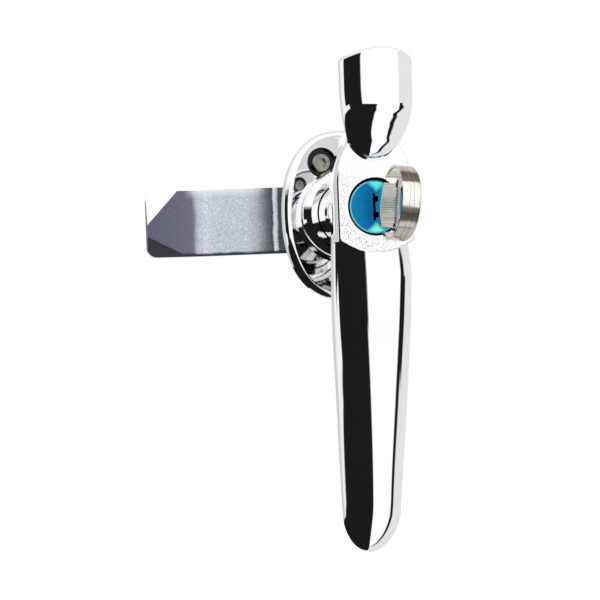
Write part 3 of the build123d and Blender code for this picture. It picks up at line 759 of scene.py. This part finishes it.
def mat_ribs():
    m, nt, b = new_mat("cap_ribs")
    v = coords(nt)
    ph = math.radians(6.0)
    dot = node(nt, "ShaderNodeVectorMath", operation="DOT_PRODUCT")
    nt.links.new(v, dot.inputs[0])
    dot.inputs[1].default_value = (math.sin(ph), 0, math.cos(ph))
    c = math2(nt, "SUBTRACT", dot.outputs["Value"], 0.0004)
    sep = node(nt, "ShaderNodeSeparateXYZ")
    nt.links.new(v, sep.inputs[0])
    hh = math2(nt, "ADD", sep.outputs["Y"], 0.0524)
    r = math2(nt, "SQRT", math2(nt, "ADD", math2(nt, "MULTIPLY", c, c), math2(nt, "MULTIPLY", hh, hh)), 0.0)
    # painted shade: the ribs are light on their crests and dark at their roots against the wall
    col = ramp(nt, rng(nt, r, 0.0, 1.0, 0.01103, 0.01135), [(0.0, srgb(224, 219, 210)), (0.35, srgb(204, 198, 189)), (0.8, srgb(112, 106, 99)), (1.0, srgb(84, 79, 73))])
    nt.links.new(col, b.inputs["Base Color"])
    b.inputs["Metallic"].default_value = 1.0
    nt.links.new(rng(nt, noise(nt, v, 400.0), 0.14, 0.22), b.inputs["Roughness"])
    return m


CAP_IN = mat_ribs()
for piece in (cap_ribs(), cap_ring(), hinge_spring(), NODES["dust_cap"], NODES["cap_hinge_pin"], NODES["cam"]):
    piece.visible_glossy = False


# ------------------------------------------------------------------ world
def make_world():
    w = bpy.data.worlds.new("studio")
    bpy.context.scene.world = w
    w.use_nodes = True
    nt = w.node_tree
    nt.nodes.clear()
    L = nt.links.new
    out = node(nt, "ShaderNodeOutputWorld")
    tc = node(nt, "ShaderNodeTexCoord")
    sep = node(nt, "ShaderNodeSeparateXYZ")
    L(tc.outputs["Generated"], sep.inputs[0])
    neg = node(nt, "ShaderNodeMath", operation="MULTIPLY")
    neg.inputs[1].default_value = -1.0
    L(sep.outputs["Y"], neg.inputs[0])
    az = node(nt, "ShaderNodeMath", operation="ARCTAN2")      # 0 straight out of the door, + towards the right
    L(sep.outputs["X"], az.inputs[0])
    L(neg.outputs[0], az.inputs[1])
    f = rng(nt, az.outputs[0], 0.0, 1.0, -math.pi, math.pi)

    def p(deg):
        return (deg + 180.0) / 360.0
    W, K = g(1.0), g(0.011)
    R = g(0.76)
    side = [(0.0, g(0.60)), (p(-148), g(0.60)), (p(-140), g(0.86))]
    deep = ramp(nt, f, [(0.0, K), (p(-5.5), K), (p(-3.5), W), (p(61), W), (p(63), K), (p(73), K), (p(75), R), (1.0, R)])
    low = ramp(nt, f, side + [(p(-94), g(0.92)), (p(-92), K), (p(-3.5), K), (p(-1.5), W), (p(61), W), (p(63), K), (p(79), K),
                              (p(81), R), (1.0, R)])
    mid = ramp(nt, f, side + [(p(-116), g(0.92)), (p(-114), K), (p(-44), K), (p(-42), W), (p(61), W), (p(63), K), (p(73), K),
                              (p(75), R), (1.0, R)])
    high = ramp(nt, f, side + [(p(-116), g(0.92)), (p(-114), K), (p(-44), K), (p(-42), W), (p(58), W), (p(60), R), (1.0, R)])
    top = ramp(nt, f, [(0.0, g(0.66)), (p(-120), g(0.9)), (p(-60), W), (p(70), W), (p(90), g(0.8)), (1.0, g(0.7))])
    col = deep
    for nxt, lo, hi in ((low, -0.18, -0.165), (mid, -0.072, -0.060), (high, 0.008, 0.018), (top, 0.22, 0.34)):
        mix = node(nt, "ShaderNodeMix", data_type="RGBA")
        L(rng(nt, sep.outputs["Z"], 0.0, 1.0, lo, hi), mix.inputs["Factor"])
        L(col, mix.inputs["A"])
        L(nxt, mix.inputs["B"])
        col = mix.outputs["Result"]
    bg = node(nt, "ShaderNodeBackground")
    L(col, bg.inputs["Color"])
    bg.inputs["Strength"].default_value = 1.08
    plain = node(nt, "ShaderNodeBackground")
    plain.inputs["Color"].default_value = (1, 1, 1, 1)
    plain.inputs["Strength"].default_value = 1.0
    lp = node(nt, "ShaderNodeLightPath")
    ms = node(nt, "ShaderNodeMixShader")
    L(lp.outputs["Is Camera Ray"], ms.inputs["Fac"])
    L(bg.outputs[0], ms.inputs[1])
    L(plain.outputs[0], ms.inputs[2])
    L(ms.outputs[0], out.inputs[0])


make_world()


# ------------------------------------------------------------------ camera
def make_camera():
    yaw, pitch, roll = (math.radians(a) for a in (15.59876, 1.58639, 2.2))
    o = Vector((math.sin(yaw) * math.cos(pitch), math.cos(yaw) * math.cos(pitch), math.sin(pitch)))
    r = Vector((math.cos(yaw), -math.sin(yaw), 0))
    u = r.cross(o)
    r2 = math.cos(roll) * r - math.sin(roll) * u
    u2 = math.sin(roll) * r + math.cos(roll) * u
    cam = bpy.data.cameras.new("camera")
    ob = bpy.data.objects.new("camera", cam)
    bpy.context.scene.collection.objects.link(ob)
    M = Matrix((r2, u2, -o)).transposed().to_4x4()
    M.translation = Vector((-0.199245, -0.656875, -0.047605))
    ob.matrix_world = M
    cam.sensor_width = 36.0
    cam.sensor_fit = "HORIZONTAL"
    cam.lens = 1982.5 * 36.0 / 600.0
    cam.clip_start = 0.01
    cam.clip_end = 50.0
    bpy.context.scene.camera = ob


make_camera()

# ------------------------------------------------------------------ floor
me = bpy.data.meshes.new("floor")
s = 3.0
me.from_pydata([(-s, -s, -0.26), (s, -s, -0.26), (s, s, -0.26), (-s, s, -0.26)], [], [(0, 1, 2, 3)])
floor = bpy.data.objects.new("floor", me)
bpy.context.scene.collection.objects.link(floor)
fm, fnt, fb = new_mat("floor_white")
fv = coords(fnt)
fnt.links.new(ramp(fnt, noise(fnt, fv, 3.0), [(0.3, g(0.93)), (0.7, g(0.95))]), fb.inputs["Base Color"])
fb.inputs["Roughness"].default_value = 0.9
fb.inputs["Emission Color"].default_value = (1, 1, 1, 1)
fb.inputs["Emission Strength"].default_value = 0.5
me.materials.append(fm)
floor.visible_glossy = False

bpy.context.scene.view_settings.view_transform = "Standard"
bpy.context.scene.view_settings.look = "None"
